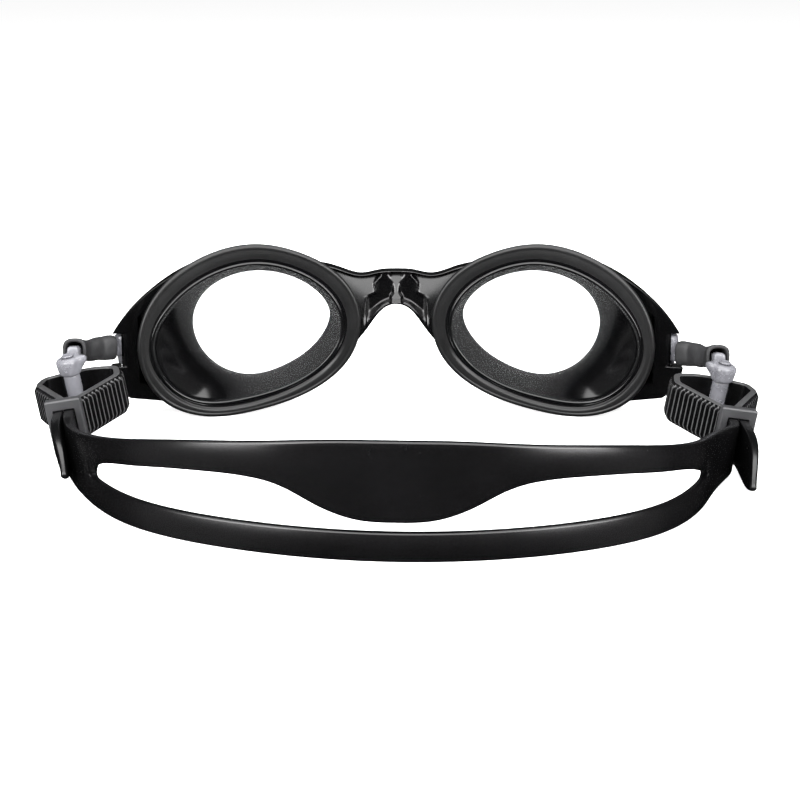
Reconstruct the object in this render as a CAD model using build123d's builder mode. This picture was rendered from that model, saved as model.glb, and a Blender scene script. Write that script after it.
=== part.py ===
from build123d import *
import math
import os

# Swim goggles lying on a table on the lower edges of the eye seals and of the lower strap band.
# Millimetres. +X is to the wearer's right, +Y is forward through the lenses, +Z is up. The origin is
# at table height, in the middle of the footprint. Every piece of one side is made for side = -1
# (left) or +1 (right).

SIDES = {"left": -1, "right": 1}

# ---- Eyecups -----------------------------------------------------------------------------------
FACE_Y = 49.69           # foremost line of the curved face that the two seal flanges lie on
FACE_RISE = 5.0          # how far that line stands in front of FACE_Y at the nose
FACE_RADIUS = 178.0      # curve of the wearer's face, seen from above
FLANGE_THICK = 2.4
FLANGE_BLANK = (4.0, 14.0)   # block that the flange is cut from: behind the rim, and its length
MOUTH_CUT = 6.0
SEAL_WALL = 2.0

LENS_X = 36.9            # centre of each lens opening
LENS_DEPTH = 15.4
LENS_Z = 22.88
WRAP = 12.6              # each eyecup is turned outwards by this angle, about a vertical line
RIM_BACK = 14.5          # from the back of the lens to the mouth of the eyecup
SLAB_BOTTOM = -10.0      # the curved slabs reach past the goggles, below and above
SLAB_HEIGHT = 70.0

# Outlines in the eyecup's own plane: outwards and up from the lens centre, starting at the top and
# going over the nose side. The lens opening and the mouth have matching points.
OPENING = [
    (2.4, 14.6), (-6.5, 13.2), (-13.6, 9.4), (-18.8, 1.8), (-14.8, -6.8), (-6.6, -12.3),
    (2.9, -14.6), (11.2, -12.2), (17.0, -6.4), (19.1, 1.6), (15.8, 9.2), (9.6, 13.2),
]
MOUTH = [
    (3.2, 18.0), (-7.6, 15.4), (-15.6, 9.7), (-19.1, 1.2), (-15.6, -7.2), (-6.0, -14.2),
    (7.0, -17.8), (20.0, -17.6), (29.4, -9.8), (31.3, -1.4), (25.8, 8.4), (14.6, 15.8),
]
FLANGE = [
    (3.0, 23.7), (-9.0, 20.9), (-18.5, 15.2), (-24.3, 5.0), (-22.0, -7.2), (-12.0, -16.4),
    (4.0, -21.8), (17.5, -22.6), (29.5, -17.2), (35.5, -4.5), (31.6, 10.0), (17.5, 20.9),
]

LENS_LIP = 2.2           # how far the lens edge reaches past the opening
LENS_LIP_THICK = 1.4
LENS_THICK = 2.0
LENS_RISE = 3.4          # front of the lens above its back
LENS_WINDOW = 0.4        # how far the raised front reaches past the opening
LENS_HOLLOW = -1.6       # the same for the hollow behind it
LENS_ROUND = 1.2

FRAME_WALL = 2.0
FRAME_FRONT = 6.0        # how far the frame's front reaches past the opening
FRAME_BACK_AT = 9.0      # the frame grips the seal from here
FRAME_FRONT_AT = -2.2
FRAME_ROUND = 1.4
FIT = 0.05               # play between pieces that are pressed together

# ---- Frame wings and clips ---------------------------------------------------------------------
WING_FRONT_RISE = 22.5
WING_FRONT_RADIUS = 167.0
WING_BACK_RISE = 7.5
WING_BACK_RADIUS = 333.0
WING_SKIN = 2.2
WING_ROUND = 1.3
RECESS_DEPTH = 20.0
POCKET_DEPTH = 8.0
WING_OUTLINE_TOP = [(44, 42.0), (58.3, 38.7), (67.0, 33.0), (73.2, 26.8), (76.4, 21.8)]
WING_OUTLINE_END = [(77.0, 16.5), (75.6, 9.6), (71.5, 5.0)]
WING_OUTLINE_INNER = [(60, 3.4), (44, 5.0)]
WING_RECESS = [(48, 38.2), (58, 35.4), (64.5, 31.4), (69.0, 27.0), (69.0, 9.0), (60, 7.0), (48, 8.5)]

PIVOT_X = 73.5
PIVOT_DEPTH = 2.5
PIVOT_R = 1.0
BARREL_R = 2.5
BARREL_Z = (13.9, 22.7)
SLOT_PLAY = 0.2
SLOT_DEPTH = 12.0
SLOT_LENGTH = 10.0
RUNNING_FIT = 0.06
PIN_Z = (10.4, 24.2)
PIN_CHAMFER = 0.3

ARM_WIDTH = 3.2
ARM_HEIGHT = 3.6
ARM_ABOVE_STRAP = 3.8    # underside of the bar above the strap's upper edge at the post
ARM_BEND = 5.0
ARM_DIP = 9.0            # the arm falls by this angle from the post to the wing
ARM_OUT = (6.0, -4.5)    # where the arm has left the wing, from its pivot
ARM_TURN = (-0.3, 11.0)  # where it turns to the post, from the post
ARM_SHORT = 0.5          # the bar stops this far before the post's axis
SLEEVE_WIDTH = 6.4
SLEEVE_WALL = 0.9
SLEEVE_HEIGHT = 6.3
SLEEVE_LIFT = 0.3        # above the middle of the bar, clear of the strap's loop
SLEEVE_START = 5.6       # from the pivot, and from the post's axis
SLEEVE_END = 4.2

BRIDGE_BACK_RISE = 11.6
BRIDGE_FRONT_RISE = 18.6
BRIDGE_RADIUS = 90.0
# Upper and lower edge seen from behind, from the middle outwards.
BRIDGE_TOP = [(0, 37.6), (4.5, 37.4), (9.5, 36.6), (16.5, 38.8), (23.0, 40.4)]
BRIDGE_UNDER = [(0, 28.1), (4.4, 26.0), (8.0, 21.2), (12.4, 16.0)]
BRIDGE_CUT = (8.0, 20.0) # behind the frames' backs, and the length of the cut
UPRIGHT_REACH = 40.0     # of outlines seen from behind, before they are cut to their curved slabs

# ---- Strap ends: where each post stands, and how its plane lies -----------------------------------
POST = {-1: (-83.8, -19.5, 15.9), 1: (83.55, -21.5, 14.6)}     # on the upper edge of the strap
POST_LEAN = 9.0          # outwards at the top
POST_TILT = 5.0          # towards the wearer at the top
STRAP_YAW = {-1: 0.0, 1: 5.0}
POST_R = 2.15
NECK_R = 1.06
HEAD_R = 1.6
HEAD_THICK = 0.7
FOOT_R = 3.6
FOOT_THICK = 1.3
COLLAR_R = 3.3
COLLAR_HEIGHT = 4.6
COLLAR_GAP = 0.4         # above the strap's edge
COLLAR_CUT = 6.0         # length of the cuts above and below the collar
COLLAR_CLEAR = 0.5       # and how much wider than the collar they are
POST_ROUND = 0.35

RIBBED_WIDTH = 10.6
RIBBED_THICK = 2.4
# Route of the ribbed end in its own plane, outwards and forwards from the post's axis.
LAYERS_X = (-3.7, -1.1)
LAYERS_END = -30.0
LOOP = [
    (-3.7, -21.0), (-12.9, -4.5), (-11.6, 2.4), (-4.0, 5.3), (7.6, 1.5), (8.6, -3.4), (-1.1, -21.0),
]
LOOP_RADII = [8.0, 5.0, 3.4, 14.0, 2.8, 3.0, 8.0]

BUCKLE_Y = -27.6
BUCKLE_DEPTH = 2.6
BUCKLE_SIDE = 1.8
BUCKLE_TOP = 2.4
BUCKLE_BOTTOM = 1.1
BUCKLE_PLAY = 0.2
BUCKLE_ROUND = 0.5
WINDOW_CUT = 2.0         # past the buckle's depth

# ---- Split head strap ----------------------------------------------------------------------------
BAND_THICK = 2.0
# Middle line of the forks and the bands, seen from above and from FACE_Y, left to right.
COURSE = [
    (-75.5, -64.8), (-70.1, -77.5), (-57.9, -96.4), (-33.6, -112.6), (0.0, -120.9),
    (34.6, -115.8), (58.0, -101.4), (69.6, -82.0), (75.6, -66.6),
]
SPLIT_Y = -79.0          # where the strap end divides into the two bands
LOWER_HEIGHT = 6.4
RIBBON_HEIGHT = 30.0
REACH = 200.0            # past the whole object, for cutting
TAIL_TIP = {-1: (-77.0, -73.0, 4.4), 1: (82.6, -76.0, 2.2)}
TAIL_POINT = 13.0        # length of the pointed part
TAIL_THICK = 1.8
TAIL_ROOT = 5.0          # of its outline, ahead of the buckle's layers
TAIL_END_TURN = -0.2     # the tip points this much inwards
TAIL_Z = (0.7, 11.2)
JOIN = 0.3               # how far the stretches of one moulding run into each other
# Edges of the upper band seen from behind, from the middle outwards; its top runs on over the forks.
STRAP_TOP = [
    (0, 26.0), (13, 25.7), (30, 24.1), (51, 21.3), (64, 17.9), (71, 15.3), (75.5, 13.6), (81, 12.8),
    (90, 12.5),
]
UPPER_UNDER = [
    (0, 8.5), (8, 8.9), (13, 10.2), (17.5, 12.1), (21.7, 14.2), (26, 15.7), (31, 16.4), (42, 16.2),
    (51, 15.2), (58, 13.8), (64, 12.0), (68, 9.6), (70, 8.1), (76, 6.8),
]
FORK_TOP = STRAP_TOP[3:]
FORK_UNDER = [(60, 0.0), (73, 0.0), (80, 1.0), (90, 1.4)]


def cup_plane(side, back=0.0):
    """The eyecup's own plane, `back` behind the lens; its normal points back at the wearer."""
    turn = math.radians(WRAP)
    forward = Vector(side * math.sin(turn), math.cos(turn), 0)
    origin = Vector(side * LENS_X, FACE_Y + LENS_DEPTH, LENS_Z) - forward * back
    return Plane(origin=origin, x_dir=(math.cos(turn), -side * math.sin(turn), 0), z_dir=-forward)


def grown(points, amount):
    """The outline moved away from its middle by `amount`."""
    moved = []
    for x, y in points:
        reach = math.hypot(x, y)
        moved.append((x * (reach + amount) / reach, y * (reach + amount) / reach))
    return moved


def wall_outline(back, amount=0.0):
    """Inside outline of the eyecup at a distance behind the lens, moved outwards by `amount`."""
    part_way = back / RIM_BACK
    points = [
        (a[0] + (b[0] - a[0]) * part_way, a[1] + (b[1] - a[1]) * part_way)
        for a, b in zip(OPENING, MOUTH)
    ]
    return grown(points, amount)


def smooth_loop(side, points):
    """A closed smooth line through the points."""
    with BuildLine() as loop:
        Spline(*[(side * x, y) for x, y in points], periodic=True)
    return loop.edges()


def curved_slab(back_rise, back_radius, front_rise, front_radius):
    """What lies between two upright curved walls; each rise is ahead of FACE_Y in the middle."""
    with BuildPart() as slab:
        with BuildSketch(Plane.XY.offset(SLAB_BOTTOM)):
            with Locations((0, FACE_Y + front_rise - front_radius)):
                Circle(front_radius)
            with Locations((0, FACE_Y + back_rise - back_radius)):
                Circle(back_radius, mode=Mode.SUBTRACT)
        extrude(amount=SLAB_HEIGHT)
    return slab.part


def cup_loft(side, back, back_amount, front, front_points):
    """A solid funnel between the eyecup's wall outline at `back` and an outline at `front`."""
    with BuildPart() as funnel:
        with BuildSketch(cup_plane(side, back)):
            make_face(smooth_loop(side, wall_outline(back, back_amount)))
        with BuildSketch(cup_plane(side, front)):
            make_face(smooth_loop(side, front_points))
        loft()
    return funnel.part


def eye_seal(side):
    """Soft cup: a wide flange that lies on the face, and a wall that leads to the lens."""
    with BuildPart() as seal:
        with BuildSketch(cup_plane(side, RIM_BACK + FLANGE_BLANK[0])):
            make_face(smooth_loop(side, FLANGE))
        extrude(amount=-FLANGE_BLANK[1])
        add(
            curved_slab(FACE_RISE, FACE_RADIUS, FACE_RISE + FLANGE_THICK, FACE_RADIUS),
            mode=Mode.INTERSECT,
        )
        add(cup_loft(side, RIM_BACK, SEAL_WALL, 0, wall_outline(0, SEAL_WALL)))
        add(cup_loft(side, RIM_BACK, 0, 0, OPENING), mode=Mode.SUBTRACT)
        with BuildSketch(cup_plane(side, RIM_BACK)):
            make_face(smooth_loop(side, MOUTH))
        extrude(amount=MOUTH_CUT, mode=Mode.SUBTRACT)
    return seal.part


def lens(side):
    """Clear lens: a thin lip held by the frame, and a raised front that fills the frame's window."""
    with BuildPart() as clear:
        with BuildSketch(cup_plane(side)):
            make_face(smooth_loop(side, grown(OPENING, LENS_LIP)))
        extrude(amount=-LENS_LIP_THICK)
        with BuildSketch(cup_plane(side, -LENS_LIP_THICK)):
            make_face(smooth_loop(side, grown(OPENING, LENS_WINDOW)))
        extrude(amount=-(LENS_RISE - LENS_LIP_THICK))
        front_edge = clear.faces().sort_by(Axis.Y)[-1].edges()
        fillet(front_edge, radius=LENS_ROUND)
        with BuildSketch(cup_plane(side)):
            make_face(smooth_loop(side, grown(OPENING, LENS_HOLLOW)))
        extrude(amount=-(LENS_RISE - LENS_THICK), mode=Mode.SUBTRACT)
    return clear.part


def frame_block(side):
    """Outside of the frame's ring before anything is cut out of it."""
    front_outline = grown(OPENING, FRAME_FRONT)
    with BuildPart() as block:
        add(cup_loft(side, FRAME_BACK_AT, SEAL_WALL + FRAME_WALL, FRAME_FRONT_AT, front_outline))
        fillet(block.faces().sort_by(Axis.Y)[-1].edges(), radius=FRAME_ROUND)
    return block.part


def wing_recess(side):
    """What is hollow behind the wing's front skin."""
    skin_rise = WING_FRONT_RISE - WING_SKIN
    with BuildPart() as recess:
        with BuildSketch(Plane.XZ.offset(-FACE_Y)):
            with BuildLine():
                Polyline(*[(side * x, z) for x, z in WING_RECESS], close=True)
            make_face()
        extrude(amount=UPRIGHT_REACH, both=True)
        add(
            curved_slab(WING_BACK_RISE - RECESS_DEPTH, WING_BACK_RADIUS, skin_rise, WING_FRONT_RADIUS),
            mode=Mode.INTERSECT,
        )
    return recess.part


def wing(side):
    """Side wing that carries the clip: a curved shell, open at the back, solid at its tip."""
    with BuildPart() as shell:
        with BuildSketch(Plane.XZ.offset(-FACE_Y)):
            with BuildLine():
                top = Spline(*[(side * x, z) for x, z in WING_OUTLINE_TOP])
                end = Spline(top @ 1, *[(side * x, z) for x, z in WING_OUTLINE_END])
                Polyline(end @ 1, *[(side * x, z) for x, z in WING_OUTLINE_INNER], top @ 0)
            make_face()
        extrude(amount=UPRIGHT_REACH, both=True)
        add(
            curved_slab(WING_BACK_RISE, WING_BACK_RADIUS, WING_FRONT_RISE, WING_FRONT_RADIUS),
            mode=Mode.INTERSECT,
        )
        fillet(shell.faces().sort_by(Axis.Y)[-1].edges(), radius=WING_ROUND)
        add(wing_recess(side), mode=Mode.SUBTRACT)
    return shell.part


def lens_pocket(side):
    """Room for the lens: its lip, and the window that its front stands in."""
    with BuildPart() as pocket:
        with BuildSketch(cup_plane(side)):
            make_face(smooth_loop(side, grown(OPENING, LENS_LIP + FIT)))
        extrude(amount=-LENS_LIP_THICK - FIT)
        with BuildSketch(cup_plane(side)):
            make_face(smooth_loop(side, grown(OPENING, LENS_WINDOW + FIT)))
        extrude(amount=-POCKET_DEPTH)
    return pocket.part


def clip_slot(side):
    """Slot in the wing's tip for the clip's barrel, open at the back and at the outer end."""
    low, high = BARREL_Z
    reach = BARREL_R + 2 * SLOT_PLAY
    front = FACE_Y + PIVOT_DEPTH + reach
    with BuildPart() as slot:
        with BuildSketch(Plane.XY.offset(low - SLOT_PLAY)):
            with Locations((side * (PIVOT_X + SLOT_LENGTH / 2), front - SLOT_DEPTH / 2)):
                Rectangle(SLOT_LENGTH, SLOT_DEPTH)
            with Locations((side * PIVOT_X, front - SLOT_DEPTH / 2 - reach)):
                Rectangle(2 * reach, SLOT_DEPTH - 2 * reach)
            with Locations((side * PIVOT_X, FACE_Y + PIVOT_DEPTH)):
                Circle(reach)
        extrude(amount=high - low + 2 * SLOT_PLAY)
    return slot.part


def frame(side):
    """Hard eyecup frame: the ring that holds the lens and the seal, and the wing at its temple."""
    with BuildPart() as body:
        add(frame_block(side))
        add(wing(side))
        add(cup_loft(side, RIM_BACK, SEAL_WALL + FIT, 0, wall_outline(0, SEAL_WALL + FIT)),
            mode=Mode.SUBTRACT)
        add(lens_pocket(side), mode=Mode.SUBTRACT)
        add(clip_slot(side), mode=Mode.SUBTRACT)
        with BuildSketch(Plane.XY.offset(PIN_Z[0])):
            with Locations((side * PIVOT_X, FACE_Y + PIVOT_DEPTH)):
                Circle(PIVOT_R)
        extrude(amount=PIN_Z[1] - PIN_Z[0], mode=Mode.SUBTRACT)
    return body.part


def pivot_pin(side):
    """Steel pin that the clip turns on, pressed into the wing."""
    with BuildPart() as pin:
        with BuildSketch(Plane.XY.offset(PIN_Z[0])):
            with Locations((side * PIVOT_X, FACE_Y + PIVOT_DEPTH)):
                Circle(PIVOT_R)
        extrude(amount=PIN_Z[1] - PIN_Z[0])
        chamfer(pin.edges().filter_by(GeomType.CIRCLE), length=PIN_CHAMFER)
    return pin.part


def nose_bridge():
    """Soft saddle between the two frames, over the nose."""
    with BuildPart() as saddle:
        with BuildSketch(Plane.XZ.offset(-FACE_Y)):
            with BuildLine():
                top = Spline(
                    *[(-x, z) for x, z in reversed(BRIDGE_TOP[1:])], *BRIDGE_TOP
                )
                under = Spline(
                    *reversed(BRIDGE_UNDER), *[(-x, z) for x, z in BRIDGE_UNDER[1:]]
                )
                Line(top @ 1, under @ 0)
                Line(under @ 1, top @ 0)
            make_face()
        extrude(amount=UPRIGHT_REACH, both=True)
        add(
            curved_slab(BRIDGE_BACK_RISE, BRIDGE_RADIUS, BRIDGE_FRONT_RISE, BRIDGE_RADIUS),
            mode=Mode.INTERSECT,
        )
        for side in SIDES.values():
            add(frame_block(side), mode=Mode.SUBTRACT)
            with BuildSketch(cup_plane(side, FRAME_BACK_AT + BRIDGE_CUT[0])):
                make_face(smooth_loop(side, grown(OPENING, FRAME_FRONT)))
            extrude(amount=-BRIDGE_CUT[1], mode=Mode.SUBTRACT)
    return saddle.part


# ---- Clips, in the frame of their own post -----------------------------------------------------------


def post_plane(side, yaw=0.0):
    """Plane across the post at the strap's upper edge: x towards +X, y forwards, z up the post."""
    lean = math.radians(POST_LEAN)
    tilt = math.radians(POST_TILT)
    up = Vector(side * math.sin(lean), -math.sin(tilt) * math.cos(lean), 0)
    up = Vector(up.X, up.Y, math.sqrt(1 - up.X**2 - up.Y**2))
    x, y, z = POST[side]
    turn = -side * math.radians(yaw)
    ahead = Vector(math.sin(turn), math.cos(turn), 0)
    across = ahead.cross(up).normalized()
    return Plane(origin=(x, FACE_Y + y, z), x_dir=across, z_dir=up)


def arm_plane(side, above=0.0):
    """Plane `above` the underside of the arm, dipping towards the wing."""
    dip = math.radians(ARM_DIP)
    _, y, z = POST[side]
    origin = (0, FACE_Y + y, z + ARM_ABOVE_STRAP)
    lowest = Plane(origin=origin, x_dir=(1, 0, 0), z_dir=(0, math.sin(dip), math.cos(dip)))
    return lowest.offset(above)


def arm_route(side):
    """The clip arm's middle line in its plane, from its pivot to its post."""
    x, y, _ = POST[side]
    pivot_y = (PIVOT_DEPTH - y) / math.cos(math.radians(ARM_DIP))
    return [
        (side * PIVOT_X, pivot_y),
        (side * (PIVOT_X + ARM_OUT[0]), pivot_y + ARM_OUT[1]),
        (x + side * ARM_TURN[0], ARM_TURN[1]),
        (x, 0),
    ]


def arm_strip(side, width, start, end):
    """Strip of the given width along the arm's route, cut off `start` and `end` from its ends."""
    with BuildLine() as route:
        FilletPolyline(*arm_route(side), radius=ARM_BEND)
    line = route.wires()[0]
    length = line.length
    with BuildLine() as middle:
        add(line.trim(start / length, 1 - end / length))
    with BuildSketch() as strip:
        trace(middle.edges(), line_width=width)
    return strip.sketch


def clip_arm(side):
    """Translucent arm: a barrel on the wing's pin, a bar, and a collar that the post turns in."""
    with BuildPart() as arm:
        with BuildSketch(Plane.XY.offset(BARREL_Z[0])):
            with Locations((side * PIVOT_X, FACE_Y + PIVOT_DEPTH)):
                Circle(BARREL_R)
        extrude(amount=BARREL_Z[1] - BARREL_Z[0])
        with BuildSketch(arm_plane(side)):
            add(arm_strip(side, ARM_WIDTH, 0, ARM_SHORT))
        extrude(amount=ARM_HEIGHT)
        with BuildSketch(post_plane(side).offset(COLLAR_GAP)):
            Circle(COLLAR_R)
        extrude(amount=COLLAR_HEIGHT)
        with BuildSketch(post_plane(side).offset(COLLAR_GAP - RUNNING_FIT)):
            Circle(NECK_R + RUNNING_FIT)
        extrude(amount=COLLAR_HEIGHT + COLLAR_CUT, mode=Mode.SUBTRACT)
        with BuildSketch(post_plane(side).offset(COLLAR_GAP + COLLAR_HEIGHT)):
            Circle(COLLAR_R + COLLAR_CLEAR)
        extrude(amount=COLLAR_CUT, mode=Mode.SUBTRACT)
        with BuildSketch(Plane.XY.offset(BARREL_Z[0])):
            with Locations((side * PIVOT_X, FACE_Y + PIVOT_DEPTH)):
                Circle(PIVOT_R + RUNNING_FIT)
        extrude(amount=BARREL_Z[1] - BARREL_Z[0], mode=Mode.SUBTRACT)
    return arm.part


def clip_sleeve(side):
    """Rubber sleeve pushed over the arm, so that the clip can't pull hair."""
    middle = ARM_HEIGHT / 2 + SLEEVE_LIFT
    inner_height = SLEEVE_HEIGHT - 2 * SLEEVE_WALL
    with BuildPart() as sleeve:
        with BuildSketch(arm_plane(side, middle - SLEEVE_HEIGHT / 2)):
            add(arm_strip(side, SLEEVE_WIDTH, SLEEVE_START, SLEEVE_END))
        extrude(amount=SLEEVE_HEIGHT)
        with BuildSketch(arm_plane(side, middle - inner_height / 2)):
            add(arm_strip(side, SLEEVE_WIDTH - 2 * SLEEVE_WALL, 0, ARM_SHORT))
        extrude(amount=inner_height, mode=Mode.SUBTRACT)
    return sleeve.part


def strap_post(side):
    """Post that the strap loops round: foot, shank, neck through the collar, and riveted head."""
    shank = RIBBED_WIDTH + 2 * COLLAR_GAP
    plane = post_plane(side)
    head_at = COLLAR_GAP + COLLAR_HEIGHT + RUNNING_FIT
    with BuildPart() as post:
        with BuildSketch(plane.offset(COLLAR_GAP - RUNNING_FIT)):
            Circle(POST_R)
        extrude(amount=-shank)
        with BuildSketch(plane.offset(COLLAR_GAP - shank)):
            Circle(FOOT_R)
        extrude(amount=-FOOT_THICK)
        with BuildSketch(plane.offset(COLLAR_GAP - POST_R)):
            Circle(NECK_R)
        extrude(amount=COLLAR_HEIGHT + POST_R + RUNNING_FIT)
        with BuildSketch(plane.offset(head_at)):
            Circle(HEAD_R)
        extrude(amount=HEAD_THICK)
        top = post.faces().sort_by(Axis(plane.origin, plane.z_dir))[-1]
        fillet(top.edges(), radius=POST_ROUND)
    return post.part


def buckle(side):
    """Rigid ring that holds the strap's two layers together and slides along them."""
    plane = post_plane(side, STRAP_YAW[side])
    layers = LAYERS_X[1] - LAYERS_X[0] + RIBBED_THICK + 2 * BUCKLE_PLAY
    middle_x = side * (LAYERS_X[0] + LAYERS_X[1]) / 2
    window = RIBBED_WIDTH + 2 * BUCKLE_PLAY
    height = window + BUCKLE_TOP + BUCKLE_BOTTOM
    with BuildPart() as ring:
        with BuildSketch(plane.offset(BUCKLE_PLAY + BUCKLE_TOP)):
            with Locations((middle_x, BUCKLE_Y)):
                Rectangle(layers + 2 * BUCKLE_SIDE, BUCKLE_DEPTH)
        extrude(amount=-height)
        fillet(ring.edges(), radius=BUCKLE_ROUND)
        with BuildSketch(plane.offset(BUCKLE_PLAY)):
            with Locations((middle_x, BUCKLE_Y)):
                Rectangle(layers, BUCKLE_DEPTH + WINDOW_CUT)
        extrude(amount=-window, mode=Mode.SUBTRACT)
    return ring.part


# ---- Strap --------------------------------------------------------------------------------------------


def seen_from_above(plane, x, y):
    """Where a point of a tilted plane stands, seen from above."""
    spot = plane.from_local_coords(Vector(x, y, 0))
    return (spot.X, spot.Y)


def strap_ribbon():
    """Forks and bands as one upright ribbon, from one strap end round the head to the other."""
    left = post_plane(-1, STRAP_YAW[-1])
    right = post_plane(1, STRAP_YAW[1])
    with BuildPart() as ribbon:
        with BuildSketch():
            with BuildLine():
                Spline(
                    seen_from_above(left, -LAYERS_X[0], LAYERS_END + JOIN),
                    *[(x, FACE_Y + y) for x, y in COURSE],
                    seen_from_above(right, LAYERS_X[0], LAYERS_END + JOIN),
                    tangents=[
                        Vector(-left.y_dir.X, -left.y_dir.Y, 0),
                        Vector(right.y_dir.X, right.y_dir.Y, 0),
                    ],
                )
            trace(line_width=BAND_THICK)
        extrude(amount=RIBBON_HEIGHT)
    return ribbon.part


def cut_at_split(part, ahead=1):
    """What lies on one side of the split: in front of it, or behind it with ahead = -1."""
    with BuildPart() as kept:
        add(part)
        with BuildSketch():
            with Locations((0, FACE_Y + SPLIT_Y + ahead * REACH / 2)):
                Rectangle(2 * REACH, REACH)
        extrude(amount=REACH, mode=Mode.INTERSECT)
    return kept.part


def yoke(side, ribbon):
    """Flat stretch from the ribbed layers to where the strap divides."""
    with BuildPart() as flat:
        add(cut_at_split(ribbon))
        with BuildSketch(Plane.XZ):
            with BuildLine():
                top = Spline(*[(side * x, z) for x, z in FORK_TOP])
                under = Polyline(*[(side * x, z) for x, z in reversed(FORK_UNDER)])
                Line(top @ 1, under @ 0)
                Polyline(under @ 1, (side * FORK_TOP[0][0], 0), top @ 0)
            make_face()
        extrude(amount=REACH, both=True, mode=Mode.INTERSECT)
    return flat.part


def tail(side, plane):
    """Free end of the strap, cut to a point."""
    tip_x, tip_y, tip_z = TAIL_TIP[side]
    low, high = TAIL_Z
    start = seen_from_above(plane, side * LAYERS_X[1], LAYERS_END + JOIN)
    away = Vector(-plane.y_dir.X, -plane.y_dir.Y, 0)
    with BuildPart() as leaf:
        with BuildSketch(Plane.XY.offset(low)):
            with BuildLine():
                Spline(start, (tip_x, FACE_Y + tip_y), tangents=[away, Vector(side * TAIL_END_TURN, -1, 0)])
            trace(line_width=TAIL_THICK)
        extrude(amount=high - low)
        with BuildSketch(Plane.YZ):
            with BuildLine():
                Polyline(
                    (start[1] + TAIL_ROOT, low),
                    (FACE_Y + tip_y + TAIL_POINT, low),
                    (FACE_Y + tip_y, tip_z),
                    (FACE_Y + tip_y + TAIL_POINT, high),
                    (start[1] + TAIL_ROOT, high),
                    close=True,
                )
            make_face()
        extrude(amount=REACH, both=True, mode=Mode.INTERSECT)
    return leaf.part


def strap_end(side, ribbon):
    """Ribbed end of the strap: from the split, round the post and back through the buckle to a tip."""
    plane = post_plane(side, STRAP_YAW[side])
    inner, outer = LAYERS_X
    with BuildPart() as strap:
        with BuildSketch(plane):
            with BuildLine():
                FilletPolyline(
                    (side * inner, LAYERS_END),
                    *[(side * x, y) for x, y in LOOP],
                    (side * outer, LAYERS_END),
                    radius=LOOP_RADII,
                )
            trace(line_width=RIBBED_THICK)
        extrude(amount=-RIBBED_WIDTH)
        add(yoke(side, ribbon))
        add(tail(side, plane))
    return strap.part


def lower_band(ribbon):
    """Lower band: the same height all the way, lying on the table on its edge."""
    with BuildPart() as band:
        add(cut_at_split(ribbon, -1))
        with BuildSketch():
            Rectangle(2 * REACH, 2 * REACH)
        extrude(amount=LOWER_HEIGHT, mode=Mode.INTERSECT)
    return band.part


def upper_band(ribbon):
    """Upper band: rises from the splits, and widens into a panel at the back of the head."""
    with BuildPart() as band:
        add(cut_at_split(ribbon, -1))
        with BuildSketch(Plane.XZ):
            with BuildLine():
                top = Spline(*[(-x, z) for x, z in reversed(STRAP_TOP[1:])], *STRAP_TOP)
                under = Spline(
                    *reversed(UPPER_UNDER), *[(-x, z) for x, z in UPPER_UNDER[1:]]
                )
                Line(top @ 1, under @ 0)
                Line(under @ 1, top @ 0)
            make_face()
        extrude(amount=REACH, both=True, mode=Mode.INTERSECT)
    return band.part


def save(part, name):
    part.label = name
    export_step(part, f"parts/{name}.step")


os.makedirs("parts", exist_ok=True)
head_ribbon = strap_ribbon()
for side_name, side in SIDES.items():
    save(frame(side), f"frame_{side_name}")
    save(lens(side), f"lens_{side_name}")
    save(eye_seal(side), f"eye_seal_{side_name}")
    save(pivot_pin(side), f"pivot_pin_{side_name}")
    save(clip_arm(side), f"clip_arm_{side_name}")
    save(clip_sleeve(side), f"clip_sleeve_{side_name}")
    save(strap_post(side), f"strap_post_{side_name}")
    save(buckle(side), f"buckle_{side_name}")
    save(strap_end(side, head_ribbon), f"strap_end_{side_name}")
save(nose_bridge(), "nose_bridge")
save(upper_band(head_ribbon), "strap_upper_band")
save(lower_band(head_ribbon), "strap_lower_band")
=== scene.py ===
import math

import bmesh
import bpy
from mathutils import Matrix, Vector


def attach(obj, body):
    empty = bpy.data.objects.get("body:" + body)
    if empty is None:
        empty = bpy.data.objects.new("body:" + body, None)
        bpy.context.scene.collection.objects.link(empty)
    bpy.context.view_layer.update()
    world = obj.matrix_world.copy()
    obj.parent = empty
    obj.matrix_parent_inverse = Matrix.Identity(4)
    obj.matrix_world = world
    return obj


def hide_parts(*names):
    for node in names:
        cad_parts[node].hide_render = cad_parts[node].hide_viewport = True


# Swim goggles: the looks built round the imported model. Lengths are in millimetres, in the part's own
# frame, until a mesh is made: +X to the wearer's right, +Y forwards, +Z up, the table at Z = 0.

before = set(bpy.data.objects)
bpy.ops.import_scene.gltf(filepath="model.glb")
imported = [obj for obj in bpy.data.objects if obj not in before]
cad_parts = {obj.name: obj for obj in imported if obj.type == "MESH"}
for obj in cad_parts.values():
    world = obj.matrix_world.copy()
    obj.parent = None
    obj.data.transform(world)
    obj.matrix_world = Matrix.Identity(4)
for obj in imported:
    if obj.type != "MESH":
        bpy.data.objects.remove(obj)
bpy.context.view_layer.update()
MM = 0.001
SIDES = {"left": -1, "right": 1}

# ---- Driving sizes of the part -------------------------------------------------------------------
# The curved face that both flanges follow. Places given from the face have Y counted from FACE_Y.
FACE_Y = 49.69
FACE_RISE = 5.0
FACE_RADIUS = 178.0

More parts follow.
